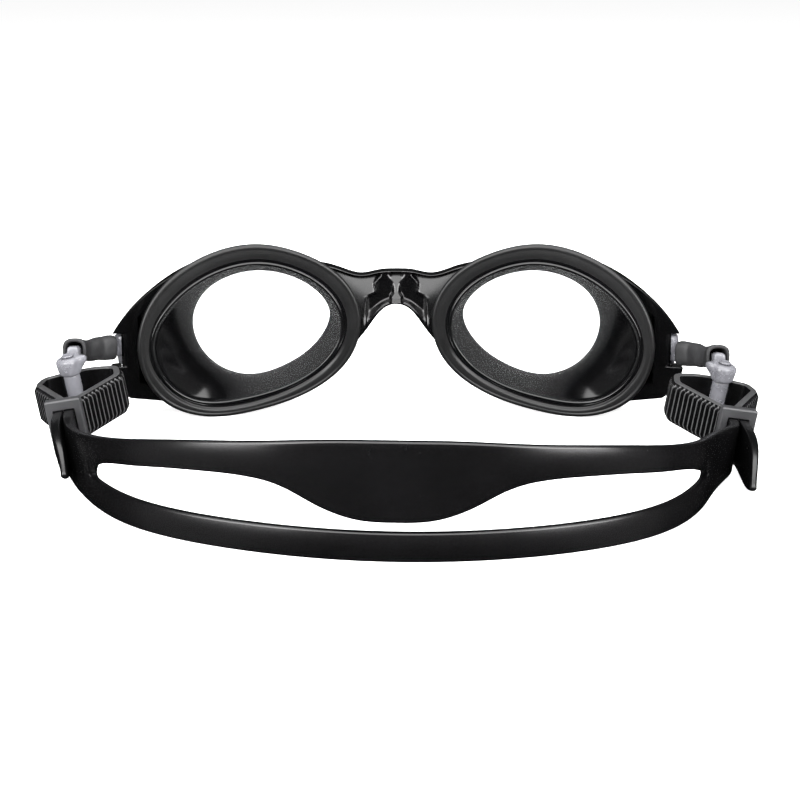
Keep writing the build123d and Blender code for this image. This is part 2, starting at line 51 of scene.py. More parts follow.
# Eyecups. The three outlines lie in the lens's own plane, with the temple at +X, and their corners match.
FLANGE_THICK = 2.4
SEAL_WALL = 2.0
LENS_X = 36.9
LENS_DEPTH = 15.4
LENS_Z = 22.88
WRAP = math.radians(12.6)
OPENING = [
    (2.4, 14.6), (-6.5, 13.2), (-13.6, 9.4), (-18.8, 1.8), (-14.8, -6.8), (-6.6, -12.3),
    (2.9, -14.6), (11.2, -12.2), (17.0, -6.4), (19.1, 1.6), (15.8, 9.2), (9.6, 13.2),
]
MOUTH = [
    (3.2, 18.0), (-7.6, 15.4), (-15.6, 9.7), (-19.1, 1.2), (-15.6, -7.2), (-6.0, -14.2),
    (7.0, -17.8), (20.0, -17.6), (29.4, -9.8), (31.3, -1.4), (25.8, 8.4), (14.6, 15.8),
]
FLANGE = [
    (3.0, 23.7), (-9.0, 20.9), (-18.5, 15.2), (-24.3, 5.0), (-22.0, -7.2), (-12.0, -16.4),
    (4.0, -21.8), (17.5, -22.6), (29.5, -17.2), (35.5, -4.5), (31.6, 10.0), (17.5, 20.9),
]

# Clip posts and the strap's loops round them. A route's points are counted from the post.
POST = {-1: (-83.8, -19.5, 15.9), 1: (83.55, -21.5, 14.6)}
POST_LEAN = math.radians(9)
POST_TILT = math.radians(5)
STRAP_YAW = {-1: 0.0, 1: math.radians(5)}
RIBBED_WIDTH = 10.6
RIBBED_THICK = 2.4
LAYERS_X = (-3.7, -1.1)
LAYERS_END = -30.0
LOOP = [
    (-3.7, -21.0), (-12.9, -4.5), (-11.6, 2.4), (-4.0, 5.3), (7.6, 1.5), (8.6, -3.4), (-1.1, -21.0),
]
LOOP_RADII = [8.0, 5.0, 3.4, 14.0, 2.8, 3.0, 8.0]

# Head strap: its plan, and the heights of its edges over the distance from the middle.
COURSE = [
    (-75.5, -64.8), (-70.1, -77.5), (-57.9, -96.4), (-33.6, -112.6), (0.0, -120.9),
    (34.6, -115.8), (58.0, -101.4), (69.6, -82.0), (75.6, -66.6),
]
BAND_THICK = 2.0
SPLIT_Y = -79.0
LOWER_HEIGHT = 6.4
STRAP_TOP = [
    (0, 26.0), (13, 25.7), (30, 24.1), (51, 21.3), (64, 17.9), (71, 15.3), (75.5, 13.6), (81, 12.8),
    (90, 12.5),
]
UPPER_UNDER = [
    (0, 8.5), (8, 8.9), (13, 10.2), (17.5, 12.1), (21.7, 14.2), (26, 15.7), (31, 16.4), (42, 16.2),
    (51, 15.2), (58, 13.8), (64, 12.0), (68, 9.6), (70, 8.1), (76, 6.8),
]
FORK_UNDER = [(60, 0.0), (73, 0.0), (80, 1.0), (90, 1.4)]
TAIL_TIP = {-1: (-77.0, -73.0, 4.4), 1: (82.6, -76.0, 2.2)}


# ---- Curves --------------------------------------------------------------------------------------


def cubic(ts, values, closed=False):
    """A smooth cubic through the values at the stations ts, as a function. Values are tuples."""
    n = len(ts)
    size = len(values[0])
    gaps = [ts[i + 1] - ts[i] for i in range(n - 1)]
    bend = [[0.0] * size for _ in range(n)]
    inner = range(n) if closed else range(1, n - 1)
    for _ in range(60):
        for i in inner:
            if closed:
                a, b = (i - 1) % (n - 1), (i + 1) % (n - 1)
                i_here = i % (n - 1)
                h0, h1 = gaps[a], gaps[i_here]
            else:
                a, b, i_here = i - 1, i + 1, i
                h0, h1 = gaps[a], gaps[i]
            for k in range(size):
                slope = (values[b][k] - values[i_here][k]) / h1
                slope -= (values[i_here][k] - values[a][k]) / h0
                rest = 6 * slope - h0 * bend[a][k] - h1 * bend[b][k]
                bend[i_here][k] = rest / (2 * (h0 + h1))
    if closed:
        bend[n - 1] = bend[0]

    def at(t):
        if closed:
            t = ts[0] + (t - ts[0]) % (ts[-1] - ts[0])
        i = 0
        while i < n - 2 and t > ts[i + 1]:
            i += 1
        h = gaps[i]
        a = (ts[i + 1] - t) / h
        b = (t - ts[i]) / h
        return tuple(
            a * values[i][k] + b * values[i + 1][k]
            + ((a**3 - a) * bend[i][k] + (b**3 - b) * bend[i + 1][k]) * h * h / 6
            for k in range(size)
        )

    return at


def chord_stations(points):
    """The length run at each point of a line."""
    ts = [0.0]
    for a, b in zip(points, points[1:]):
        ts.append(ts[-1] + math.dist(a, b))
    return ts


def outline(points):
    """A closed smooth outline: a function of the corner's number, counted on between the corners."""
    ring = points + points[:1]
    ts = chord_stations(ring)
    curve = cubic(ts, ring, closed=True)

    def at(u):
        u = u % len(points)
        i = int(u)
        return curve(ts[i] + (u - i) * (ts[i + 1] - ts[i]))

    return at


def profile(points):
    """Height over distance, as a smooth function."""
    curve = cubic([p[0] for p in points], [(p[1],) for p in points])
    return lambda x: curve(min(max(x, points[0][0]), points[-1][0]))[0]


def smooth(edge0, edge1, x):
    """0 at edge0 and 1 at edge1, with soft ends. Edges in the other order make it fall."""
    t = min(max((x - edge0) / (edge1 - edge0), 0.0), 1.0)
    return t * t * (3 - 2 * t)


def mix(a, b, t):
    """From a at t = 0 to b at t = 1."""
    return a + (b - a) * t


# ---- Meshes --------------------------------------------------------------------------------------


def mesh_object(name, points, faces, materials, body, nodes, levels=0):
    """A smooth-shaded mesh in millimetres that rides on a CAD body and stands for CAD nodes."""
    mesh = bpy.data.meshes.new(name)
    mesh.from_pydata([tuple(c * MM for c in p) for p in points], [], faces)
    mesh.validate()
    work = bmesh.new()
    work.from_mesh(mesh)
    bmesh.ops.remove_doubles(work, verts=work.verts, dist=1e-7)
    bmesh.ops.recalc_face_normals(work, faces=work.faces)
    work.to_mesh(mesh)
    work.free()
    for face in mesh.polygons:
        face.use_smooth = True
    made = bpy.data.objects.new(name, mesh)
    bpy.context.scene.collection.objects.link(made)
    for look in materials:
        mesh.materials.append(look)
    if levels:
        subdivide = made.modifiers.new("subdivide", "SUBSURF")
        subdivide.levels = levels
        subdivide.render_levels = levels
    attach(made, body)
    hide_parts(*nodes)
    return made


def grid(rings, closed_across=True, closed_along=False, caps=False):
    """Points and faces of a surface through rings of equal length."""
    width = len(rings[0])
    points = [p for ring in rings for p in ring]
    faces = []
    count = len(rings)
    for i in range(count if closed_along else count - 1):
        for j in range(width if closed_across else width - 1):
            a, b = i * width, ((i + 1) % count) * width
            k = (j + 1) % width
            faces.append((a + j, a + k, b + k, b + j))
    if caps:
        for base in (0, (count - 1) * width):
            middle = len(points)
            ring = points[base:base + width]
            points.append(tuple(sum(p[k] for p in ring) / width for k in range(3)))
            faces += [(base + j, base + (j + 1) % width, middle) for j in range(width)]
    return points, faces


# ---- Materials -----------------------------------------------------------------------------------
CLOUD_SCALE = 90
SMEAR_SCALE = 160
NOISE_LOW = 0.3
NOISE_HIGH = 0.7
GRAIN_HEIGHT = 0.2
BEVEL_SAMPLES = 6


def material(name, colour, rough, grain, spread=0.06, bump=0.02, tint=0.25, edge=0.0, **sockets):
    """Moulded plastic, rubber or metal: cloudy colour, uneven gloss and fine grain.

    `rough` varies by `spread`, `grain` sets how fine the bumps are, `tint` is how far the colour varies,
    and `edge` rounds the edges in the shading, in millimetres. Other sockets go by their own names.
    """
    made = bpy.data.materials.new(name)
    made.use_nodes = True
    tree = made.node_tree
    shader = tree.nodes["Principled BSDF"]
    where = tree.nodes.new("ShaderNodeTexCoord")

    def noise(scale, detail, roughness):
        node = tree.nodes.new("ShaderNodeTexNoise")
        node.inputs["Scale"].default_value = scale
        node.inputs["Detail"].default_value = detail
        node.inputs["Roughness"].default_value = roughness
        tree.links.new(where.outputs["Object"], node.inputs["Vector"])
        return node

    def between(source, low, high):
        node = tree.nodes.new("ShaderNodeMapRange")
        node.inputs["From Min"].default_value = NOISE_LOW
        node.inputs["From Max"].default_value = NOISE_HIGH
        node.inputs["To Min"].default_value = low
        node.inputs["To Max"].default_value = high
        tree.links.new(source.outputs["Fac"], node.inputs["Value"])
        return node

    clouds = noise(CLOUD_SCALE, 4, 0.55)
    ramp = tree.nodes.new("ShaderNodeValToRGB")
    ramp.color_ramp.elements[0].position = NOISE_LOW
    ramp.color_ramp.elements[1].position = 0.75
    ramp.color_ramp.elements[0].color = (*[c * (1 - tint) for c in colour], 1)
    ramp.color_ramp.elements[1].color = (*[min(1, c * (1 + tint)) for c in colour], 1)
    tree.links.new(clouds.outputs["Fac"], ramp.inputs["Fac"])
    tree.links.new(ramp.outputs["Color"], shader.inputs["Base Color"])
    smears = noise(SMEAR_SCALE, 6, 0.7)
    gloss = between(smears, max(0.02, rough - spread), rough + spread)
    tree.links.new(gloss.outputs["Result"], shader.inputs["Roughness"])
    fine = noise(grain, 3, 0.6)
    bumps = tree.nodes.new("ShaderNodeBump")
    bumps.inputs["Strength"].default_value = bump
    bumps.inputs["Distance"].default_value = GRAIN_HEIGHT * MM
    tree.links.new(fine.outputs["Fac"], bumps.inputs["Height"])
    if edge:
        worn = tree.nodes.new("ShaderNodeBevel")
        worn.samples = BEVEL_SAMPLES
        worn.inputs["Radius"].default_value = edge * MM
        tree.links.new(worn.outputs["Normal"], bumps.inputs["Normal"])
    tree.links.new(bumps.outputs["Normal"], shader.inputs["Normal"])
    for key, value in sockets.items():
        shader.inputs[key.replace("_", " ")].default_value = value
    return made


seal_gloss = material("seal_gloss", (0.0016, 0.0016, 0.0018), rough=0.15, grain=1500, spread=0.02,
                      bump=0.004)
seal_satin = material("seal_satin", (0.004, 0.004, 0.0042), rough=0.4, grain=3800, spread=0.04,
                      bump=0.06, Specular_IOR_Level=0.4)
bridge_gloss = material("bridge_gloss", (0.0016, 0.0016, 0.0018), rough=0.2, grain=2500, spread=0.04,
                        bump=0.015)
frame_gloss = material("frame_gloss", (0.0014, 0.0014, 0.0016), rough=0.18, grain=2200, spread=0.04,
                       bump=0.02, edge=0.35)
strap_satin = material("strap_satin", (0.0018, 0.0018, 0.002), rough=0.26, grain=1500, spread=0.015,
                       bump=0.006)
# Painted highlight: a lighter grey for the strap's upper rim and rib crests, standing in for the light
# these edges catch.
strap_painted_highlight = material("strap_painted_highlight", (0.045, 0.045, 0.046), rough=0.3, grain=3000, spread=0.03, bump=0.02)
sleeve_matte = material("sleeve_matte", (0.017, 0.017, 0.018), rough=0.6, grain=2600, spread=0.08,
                        bump=0.35, Specular_IOR_Level=0.4)
buckle_satin = material("buckle_satin", (0.035, 0.035, 0.037), rough=0.34, grain=2600, spread=0.08,
                        bump=0.08, edge=0.4)
clip_cloudy = material("clip_cloudy", (0.2, 0.2, 0.22), rough=0.26, grain=1400, spread=0.08, bump=0.12,
                       tint=0.3, Transmission_Weight=0.3, IOR=1.5)
# The lens is see-through by its alpha, so that the eyecup's gloss doesn't mirror the floor through it.
lens_clear = material("lens_clear", (0.93, 0.95, 0.95), rough=0.05, grain=900, spread=0.015, bump=0.004,
                      tint=0.02, Alpha=0.1, Specular_IOR_Level=1.0)
pin_metal = material("pin_metal", (0.55, 0.55, 0.56), rough=0.28, grain=2200, spread=0.06, bump=0.1,
                     Metallic=1.0)


def finish_node(node, mat):
    """A CAD node that shows as it is, with its proper material."""
    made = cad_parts[node]
    made.data.materials.clear()
    made.data.materials.append(mat)


# ---- Eye seals -----------------------------------------------------------------------------------
AROUND = 240
CORNERS = len(OPENING)
LEDGE_DEPTH = 0.9
BOWL_CURVE = 1.6
LIP_RADIUS = 0.5
LIP_TURN = 0.86
CHANNEL_AT = 2.1
CHANNEL_WIDE = 0.6
CHANNEL_DEPTH = 0.6
FLANGE_CROWN = 0.1
FLANGE_SINK = 0.12
ROLL_RADIUS = 1.0
ROOT_GAP = 1.2
# Points along one section of the seal, from the lens outwards.
LEDGE_ROWS = 3
WALL_ROWS = 14
LIP_ROWS = 8
CHANNEL_ROWS = 12
EDGE_ROWS = 9


def cup_point(side, x, y, back):
    """A point of the eyecup's own plane, `back` behind the lens, in the part's frame."""
    c, s = math.cos(WRAP), math.sin(WRAP)
    along = side * x
    return (
        side * LENS_X + along * c - side * s * back,
        FACE_Y + LENS_DEPTH - along * side * s - c * back,
        LENS_Z + y,
    )


def face_depth(side, x, y, ahead=0.0):
    """How far behind the lens the curved face lies at a point of the eyecup's plane."""
    px, py, _ = cup_point(side, x, y, 0)
    dx, dy = side * math.sin(WRAP), math.cos(WRAP)
    cy = FACE_Y + FACE_RISE + ahead - FACE_RADIUS
    half = px * dx + (py - cy) * dy
    rest = px**2 + (py - cy) ** 2 - FACE_RADIUS**2
    return half - math.sqrt(half * half - rest)


def outwards(points_at, u):
    """Unit vector away from the middle of an outline, square to its line."""
    (ax, ay), (bx, by) = points_at(u - 0.02), points_at(u + 0.02)
    tx, ty = bx - ax, by - ay
    length = math.hypot(tx, ty)
    nx, ny = ty / length, -tx / length
    x, y = points_at(u)
    if nx * x + ny * y < 0:
        nx, ny = -nx, -ny
    return nx, ny


opening_at = outline(OPENING)
mouth_at = outline(MOUTH)
flange_at = outline(FLANGE)


def eye_seal(name, side):
    """Silicone cup: bowl-shaped wall, rolled lip, shallow channel, wide flange with a rolled edge."""
    rings = []
    for i in range(AROUND):
        u = i * CORNERS / AROUND
        ox, oy = opening_at(u)
        mx, my = mouth_at(u)
        nx, ny = outwards(mouth_at, u)
        fx, fy = flange_at(u)
        gx, gy = outwards(flange_at, u)
        depth = face_depth(side, mx, my)
        row = []

        def put(x, y, back):
            row.append(cup_point(side, x, y, back))

        # inside wall, from the ledge at the lens out to the lip
        put(ox * 1.03, oy * 1.03, 0.02)
        put(ox, oy, 0.25)
        put(ox, oy, LEDGE_DEPTH)
        for k in range(1, WALL_ROWS + 1):
            t = k / WALL_ROWS
            bowl = t**BOWL_CURVE
            put(mix(ox, mx, bowl), mix(oy, my, bowl), mix(LEDGE_DEPTH, depth - LIP_RADIUS, t))
        # rolled lip
        for k in range(1, LIP_ROWS + 1):
            a = math.pi - math.pi * k / LIP_ROWS * LIP_TURN
            away = LIP_RADIUS * (1 + math.cos(a))
            put(mx + nx * away, my + ny * away, depth - LIP_RADIUS + LIP_RADIUS * math.sin(a) * 1.05)
        # channel and flange, from the lip to the rolled outer edge; the channel is deepest low down
        wide = math.hypot(fx - mx, fy - my)
        low = 0.03 + CHANNEL_DEPTH * smooth(-1, -13, my)
        start, end = 2 * LIP_RADIUS / wide, 1 - ROLL_RADIUS / wide
        for k in range(1, CHANNEL_ROWS + 1):
            t = k / (CHANNEL_ROWS + 1)
            at = mix(start, end, t)
            x, y = mix(mx, fx, at), mix(my, fy, at)
            dip = low * math.exp(-((at * wide - CHANNEL_AT) / CHANNEL_WIDE) ** 2)
            crown = FLANGE_CROWN * math.sin(math.pi * t)
            put(x, y, face_depth(side, x, y) - dip - FLANGE_SINK + crown)
        edge = FLANGE_THICK / 2
        for k in range(EDGE_ROWS):
            a = math.pi / 2 - math.pi * k / (EDGE_ROWS - 1)
            bead = 0.1 * math.exp(-((k - 2) / 1.4) ** 2)
            inwards = ROLL_RADIUS * (1 - math.cos(a))
            x = fx - gx * inwards + gx * bead
            y = fy - gy * inwards + gy * bead
            put(x, y, face_depth(side, x, y) - edge + edge * math.sin(a))
        # underside of the flange, and the outside of the wall back to the lens
        wx, wy = mx + nx * SEAL_WALL, my + ny * SEAL_WALL
        for k in range(1, 6):
            t = k / 6
            x, y = mix(fx - gx * ROLL_RADIUS, wx, t), mix(fy - gy * ROLL_RADIUS, wy, t)
            put(x, y, face_depth(side, x, y, FLANGE_THICK) - 0.5 * smooth(0.5, 1.0, t))
        for k in range(9):
            t = 1 - k / 8
            x, y = mix(ox, mx, t), mix(oy, my, t)
            grow = 1 + SEAL_WALL / math.hypot(x, y)
            put(x * grow, y * grow, mix(0.02, depth - FLANGE_THICK - ROOT_GAP, t))
        rings.append(row)
    points, faces = grid(rings, closed_across=True, closed_along=True)
    made = mesh_object(name, points, faces, [seal_gloss, seal_satin], "goggles", [name])
    # The flange is satin from a little beyond the lip to the end of its rolled edge.
    satin_from = LEDGE_ROWS + WALL_ROWS + LIP_ROWS + 2
    satin_to = LEDGE_ROWS + WALL_ROWS + LIP_ROWS + CHANNEL_ROWS + EDGE_ROWS
    rows = len(rings[0])
    for face in made.data.polygons:
        js = [v % rows for v in face.vertices]
        if satin_from <= min(js) and max(js) <= satin_to:
            face.material_index = 1


for side_name, side in SIDES.items():
    eye_seal(f"eye_seal_{side_name}", side)
    finish_node(f"frame_{side_name}", frame_gloss)
    finish_node(f"lens_{side_name}", lens_clear)
    finish_node(f"pivot_pin_{side_name}", pin_metal)
    finish_node(f"buckle_{side_name}", buckle_satin)

# ---- Routes --------------------------------------------------------------------------------------


def rounded_route(points, radii, step):
    """Points every `step` or less along a line whose corners are rounded."""
    run = [points[0]]
    for i, radius in enumerate(radii):
        before, corner, after = (Vector(points[i + k]) for k in range(3))
        a, b = (before - corner).normalized(), (after - corner).normalized()
        half = a.angle(b) / 2
        centre = corner + (a + b).normalized() * (radius / math.sin(half))
        start = corner + a * (radius / math.tan(half)) - centre
        turn = math.pi - 2 * half
        sense = 1 if a.x * b.y - a.y * b.x < 0 else -1
        pieces = max(3, round(turn * radius / step))
        for k in range(pieces + 1):
            angle = sense * turn * k / pieces
            c, s = math.cos(angle), math.sin(angle)
            run.append((centre.x + start.x * c - start.y * s, centre.y + start.x * s + start.y * c))
    run.append(points[-1])
    lengths = chord_stations(run)
    count = round(lengths[-1] / step)
    even, i = [], 0
    for k in range(count + 1):
        at = lengths[-1] * k / count
        while i < len(run) - 2 and lengths[i + 1] < at:
            i += 1
        t = (at - lengths[i]) / max(lengths[i + 1] - lengths[i], 1e-9)
        even.append(tuple(mix(run[i][c], run[i + 1][c], t) for c in range(2)))
    return even


def post_frame(side, yaw=0.0):
    """Origin and the three directions of the plane across a post, at the strap's upper edge."""
    up = Vector((side * math.sin(POST_LEAN), -math.sin(POST_TILT) * math.cos(POST_LEAN), 0))
    up.z = math.sqrt(1 - up.x**2 - up.y**2)
    x, y, z = POST[side]
    ahead = Vector((math.sin(-side * yaw), math.cos(yaw), 0))
    across = ahead.cross(up).normalized()
    return Vector((x, FACE_Y + y, z)), across, up.cross(across), up


def placed(where, x, y, z):
    """A point given in a frame of its own, in the part's frame."""
    origin, across, along, up = where
    return origin + across * x + along * y + up * z


# ---- Strap ---------------------------------------------------------------------------------------
RIB_PITCH = 1.6
RIB_STEP = RIB_PITCH / 8
RIB_VALLEY = 0.42
RIM_UNDER_RIBS = 0.35
RIB_SHARPNESS = 2.6
RIB_HIGHLIGHT_CREST = 0.6      # the part of a rib's wave that counts as its crest and gets the painted highlight
FACE_ROWS = 17
EDGE_STEPS = 3
FORK_MIDDLE = 7.0
FORK_LENGTH = 3.2
BEAD_REACH = 2.7
BEAD_HEIGHT = 0.4
END_FADE = 11
TAIL_STEPS = 40
FLAT_END = math.radians(50)
TAIL_HALF = 0.55
COURSE_STEP = 0.55
top_at = profile(STRAP_TOP)
under_at = profile(UPPER_UNDER)


def fork_under_at(x):
    """Height of the fork's lower edge at a distance from the middle."""
    for (x0, z0), (x1, z1) in zip(FORK_UNDER, FORK_UNDER[1:]):
        if x <= x1:
            return mix(z0, z1, smooth(x0, x1, x))
    return FORK_UNDER[-1][1]


def section(top, base, travel, half_plus, half_minus, edges, shape=None, crown=0.0):
    """Closed outline of the ribbon: the ribbed face down, and the other face up again."""
    up = (top - base).normalized()
    out = up.cross(travel).normalized()
    height = (top - base).length
    high, low = (min(e, height * 0.3, half_plus * 0.9, half_minus * 0.9) for e in edges)
    ring = []

    def put(down, across):
        ring.append(top - up * down + out * across)

    def bend(half, sign, edge, corner, steps):
        for k in steps:
            a = math.pi / 2 * k / (EDGE_STEPS + 0.5)
            put(corner + edge * math.sin(a) * (1 if corner > height / 2 else -1),
                sign * (half - edge + edge * math.cos(a)))

    for k in range(FACE_ROWS):
        f = k / (FACE_ROWS - 1)
        down = mix(high, height - low, f)
        put(down, shape(down, height) if shape else half_plus + crown * 4 * f * (1 - f))
    outwards_steps = range(1, EDGE_STEPS + 1)
    inwards_steps = range(EDGE_STEPS, 0, -1)
    bend(half_plus, 1, low, height - low, outwards_steps)
    bend(half_minus, -1, low, height - low, inwards_steps)
    for k in range(FACE_ROWS):
        f = 1 - k / (FACE_ROWS - 1)
        put(mix(high, height - low, f), -half_minus - crown * 4 * f * (1 - f))
    bend(half_minus, -1, high, high, outwards_steps)
    bend(half_plus, 1, high, high, inwards_steps)
    return ring


def rib_shape(run, strength):
    """Height of the ribbed face: rounded ribs between two smooth rims."""
    wave = math.tanh(RIB_SHARPNESS * math.cos(2 * math.pi * run / RIB_PITCH))
    crest = 0.5 + 0.5 * wave / math.tanh(RIB_SHARPNESS)

    def across(down, height):
        inside = smooth(0.55, 1.25, down) * smooth(0.55, 1.25, height - down)
        rim = mix(RIBBED_THICK / 2, RIM_UNDER_RIBS, strength)
        rib = mix(RIB_VALLEY, RIBBED_THICK / 2, crest)
        return mix(rim, mix(rim, rib, inside), strength)

    return across


def travel_of(pairs, i):
    """Direction of a ribbon, given by its upper and lower edges, at its point i."""
    a, b = pairs[max(i - 1, 0)], pairs[min(i + 1, len(pairs) - 1)]
    return ((b[0] + b[1]) - (a[0] + a[1])).normalized()


def loop_pairs(side):
    """Upper and lower edge of the ribbed end, from the head side round the post to the tail."""
    where = post_frame(side, STRAP_YAW[side])
    inner, outer = LAYERS_X
    route = rounded_route([(inner, LAYERS_END), *LOOP, (outer, LAYERS_END)], LOOP_RADII, RIB_STEP)
    return [(placed(where, side * x, y, 0), placed(where, side * x, y, -RIBBED_WIDTH))
            for x, y in route]


def bezier(a, b, c, d, t):
    """A point of the curve from a to d that leaves towards b and arrives from c."""
    s = 1 - t
    return a * s**3 + b * (3 * s * s * t) + c * (3 * s * t * t) + d * t**3


def tail_pairs(side, start):
    """Edges of the strap's pointed tail."""
    top, base = start
    where = post_frame(side, STRAP_YAW[side])
    away = -where[2]
    x, y, z = TAIL_TIP[side]
    tip = Vector((x, FACE_Y + y, z))
    pairs = []
    for k in range(1, TAIL_STEPS + 1):
        t = k / TAIL_STEPS
        upper = bezier(top, top + away * 11, tip + Vector((side * 1.6, 5.5, 8.4)),
                       tip + Vector((0, 0, 0.5)), t)
        lower = bezier(base, base + away * 11, tip + Vector((-side * 0.2, 7.5, -2.6 - z * 0.2)),
                       tip - Vector((0, 0, 0.5)), t)
        pairs.append((upper, lower))
    return pairs


def head_course():
    """Plan of the forks and bands: points about half a millimetre apart, left to right."""
    ends = {}
    for side in SIDES.values():
        where = post_frame(side, STRAP_YAW[side])
        ends[side] = [placed(where, side * LAYERS_X[0], LAYERS_END + ahead, 0)
                      for ahead in (4.0, 0.0)]
    plan = [(p.x, p.y) for p in ends[-1]]
    plan += [(x, FACE_Y + y) for x, y in COURSE]
    plan += [(p.x, p.y) for p in reversed(ends[1])]
    stations = chord_stations(plan)
    curve = cubic(stations, plan)
    first, last = stations[1], stations[-2]
    count = round((last - first) / COURSE_STEP)
    return [curve(mix(first, last, k / count)) for k in range(count + 1)]


def sharpen(made, angle):
    """Marks the edges of flat ends sharp, so that they don't shade the faces next to them."""
    work = bmesh.new()
    work.from_mesh(made.data)
    for edge in work.edges:
        if len(edge.link_faces) == 2 and edge.calc_face_angle() > angle:
            edge.smooth = False
    work.to_mesh(made.data)
    work.free()


def build_strap():
    """The two ribbed ends with their forks, loops and tails, and the two bands between the forks."""
    course = head_course()
    runs = chord_stations(course)
    total = runs[-1]
    loops = {side: loop_pairs(side) for side in SIDES.values()}
    split_y = FACE_Y + SPLIT_Y
    first = next(i for i, p in enumerate(course) if p[1] < split_y)
    last = len(course) - 1 - next(i for i, p in enumerate(reversed(course)) if p[1] < split_y)

    whole = []
    for (x, y), run in zip(course, runs):
        top = Vector((x, y, top_at(abs(x))))
        base = Vector((x, y, fork_under_at(abs(x))))
        for side, gone in ((-1, run), (1, total - run)):
            fade = 1 - smooth(0, END_FADE, gone)
            if fade > 0:
                ex, ey = course[0] if side < 0 else course[-1]
                end_top, end_base = loops[side][0]
                top += (end_top - Vector((ex, ey, top_at(abs(ex))))) * fade
                base += (end_base - Vector((ex, ey, fork_under_at(abs(ex))))) * fade
        whole.append((top, base))

    knots = {-1: Vector((*course[first], FORK_MIDDLE)), 1: Vector((*course[last], FORK_MIDDLE))}

    def beaded(ring, knot, travel, top):
        """A low bead round the fork's crotch, on the outer face."""
        out = Vector((0, 0, 1)).cross(travel).normalized()
        made = []
        for p in ring:
            near = math.exp(-(((p - knot).length - BEAD_REACH) / 0.8) ** 2)
            outer = (p - top).dot(out) < 0
            made.append(p - out * (BEAD_HEIGHT * near * outer))
        return made

    for name, side in SIDES.items():
        # from the fork to the loop, with the distance still to go
        if side < 0:
            pairs = whole[first::-1]
            gone = runs[first::-1]
        else:
            pairs = whole[last:]
            gone = [total - r for r in runs[last:]]
        fork = len(pairs)
        pairs += loops[side][1:]
        looped = len(pairs)
        pairs += tail_pairs(side, pairs[-1])
        rings = []
        for i, (top, base) in enumerate(pairs):
            travel = travel_of(pairs, i) * side
            if i < fork:
                thick = mix(BAND_THICK / 2, RIBBED_THICK / 2, 1 - smooth(0, 9, gone[i]))
                plain = smooth(max(gone) - 1, max(gone) - 9, gone[i])
                ring = section(top, base, travel, thick, thick, (0.5, 0.5), crown=0.12 * plain)
                ring = beaded(ring, knots[side], travel, top)
            elif i < looped:
                done = (i - fork) * RIB_STEP
                left = (looped - 1 - i) * RIB_STEP
                ribs = smooth(2.0, 4.5, done) * smooth(1.5, 4.0, left)
                ring = section(top, base, travel, mix(RIBBED_THICK / 2, RIM_UNDER_RIBS, ribs),
                               RIBBED_THICK / 2, (0.4, 0.4), rib_shape(done, ribs))
            else:
                t = (i - looped + 1) / TAIL_STEPS
                half = mix(RIBBED_THICK / 2, TAIL_HALF, t**1.5)
                ring = section(top, base, travel, half, half, (0.5, 0.5),
                               crown=0.25 * smooth(0, 0.5, t))
            rings.append(ring)
        points, faces = grid([[tuple(p) for p in r] for r in rings], caps=True)
        made = mesh_object(f"strap_end_{name}", points, faces, [strap_satin, strap_painted_highlight], "strap",
                           [f"strap_end_{name}"])
        # The upper rim and the ribs' crests get a painted highlight: a lighter grey material standing in
        # for the light these edges catch.
        width = len(rings[0])
        highlight_rim_from = width - 2 * EDGE_STEPS - 1
        for face in made.data.polygons:
            i = min(v // width for v in face.vertices)
            js = sorted(v % width for v in face.vertices)
            on_highlight_rim = js[0] >= highlight_rim_from or (js[0] == 0 and js[-1] == width - 1)
            crest = math.cos(2 * math.pi * (i + 0.5 - fork) * RIB_STEP / RIB_PITCH) > RIB_HIGHLIGHT_CREST
            on_highlight_rib = crest and 1 <= js[0] and js[-1] < FACE_ROWS
            if fork + 8 < i < looped - 8 and (on_highlight_rim or on_highlight_rib):
                face.material_index = 1
        sharpen(made, FLAT_END)

    upper, lower = [], []
    for i in range(first, last + 1):
        (x, y), (top, base) = course[i], whole[i]
        travel = travel_of(whole, i)
        # how far the fork has opened, from 0 at a split to 1, along a quarter of a circle
        near = min(runs[i] - runs[first], runs[last] - runs[i])
        u = min(near / FORK_LENGTH, 1.0)
        k = math.sqrt(max(0.0, 1 - (1 - u) ** 2))
        knot = knots[-1 if x < 0 else 1]
        under = mix(FORK_MIDDLE, under_at(abs(x)), k)
        edge = mix(0.04, 0.5, min(1, k * 1.2))
        grown = smooth(0, 8, near)
        narrow = smooth(14, 7, top.z - under)
        for made, high, low, edges, crown in (
            (upper, top, Vector((x, y, under)), (0.5, edge), mix(0.06, 0.35, narrow)),
            (lower, Vector((x, y, mix(FORK_MIDDLE, LOWER_HEIGHT, k))), base, (edge, 0.5), 0.3),
        ):
            half = BAND_THICK / 2
            ring = section(high, low, travel, half, half, edges, crown=crown * grown)
            made.append(beaded(ring, knot, travel, top))
    for name, rings in (("strap_upper_band", upper), ("strap_lower_band", lower)):
        points, faces = grid([[tuple(p) for p in r] for r in rings], caps=True)
        made = mesh_object(name, points, faces, [strap_satin], "strap", [name])
        sharpen(made, FLAT_END)


build_strap()

# ---- Clips ---------------------------------------------------------------------------------------
PIVOT_X = 73.5
PIVOT_DEPTH = 2.5
BARREL_R = 2.5
BARREL_Z = (13.9, 22.7)
PIN_R = 1.06
ARM_DIP = math.radians(9)
ARM_WIDTH = 3.2
ARM_HEIGHT = 3.6
ARM_ABOVE_STRAP = 3.8
ARM_BEND = 5.0
ARM_OUT = (6.0, -4.5)
ARM_TURN = (-0.3, 11.0)
SLEEVE_WIDTH = 6.4
SLEEVE_HEIGHT = 6.3
SLEEVE_LIFT = 0.3
SLEEVE_START = 5.6
SLEEVE_REACH = 2.2
SLEEVE_WALL = 0.95
SLEEVE_CORNER = 2.9
SLEEVE_END = 4.2
COLLAR_R = 3.3
COLLAR_GAP = 0.4
COLLAR_HEIGHT = 4.6
POST_R = 2.15
NECK_R = 1.06
NECK_FIT = 0.06
HEAD_R = 1.6
FOOT_R = 3.6
SPIN = 48


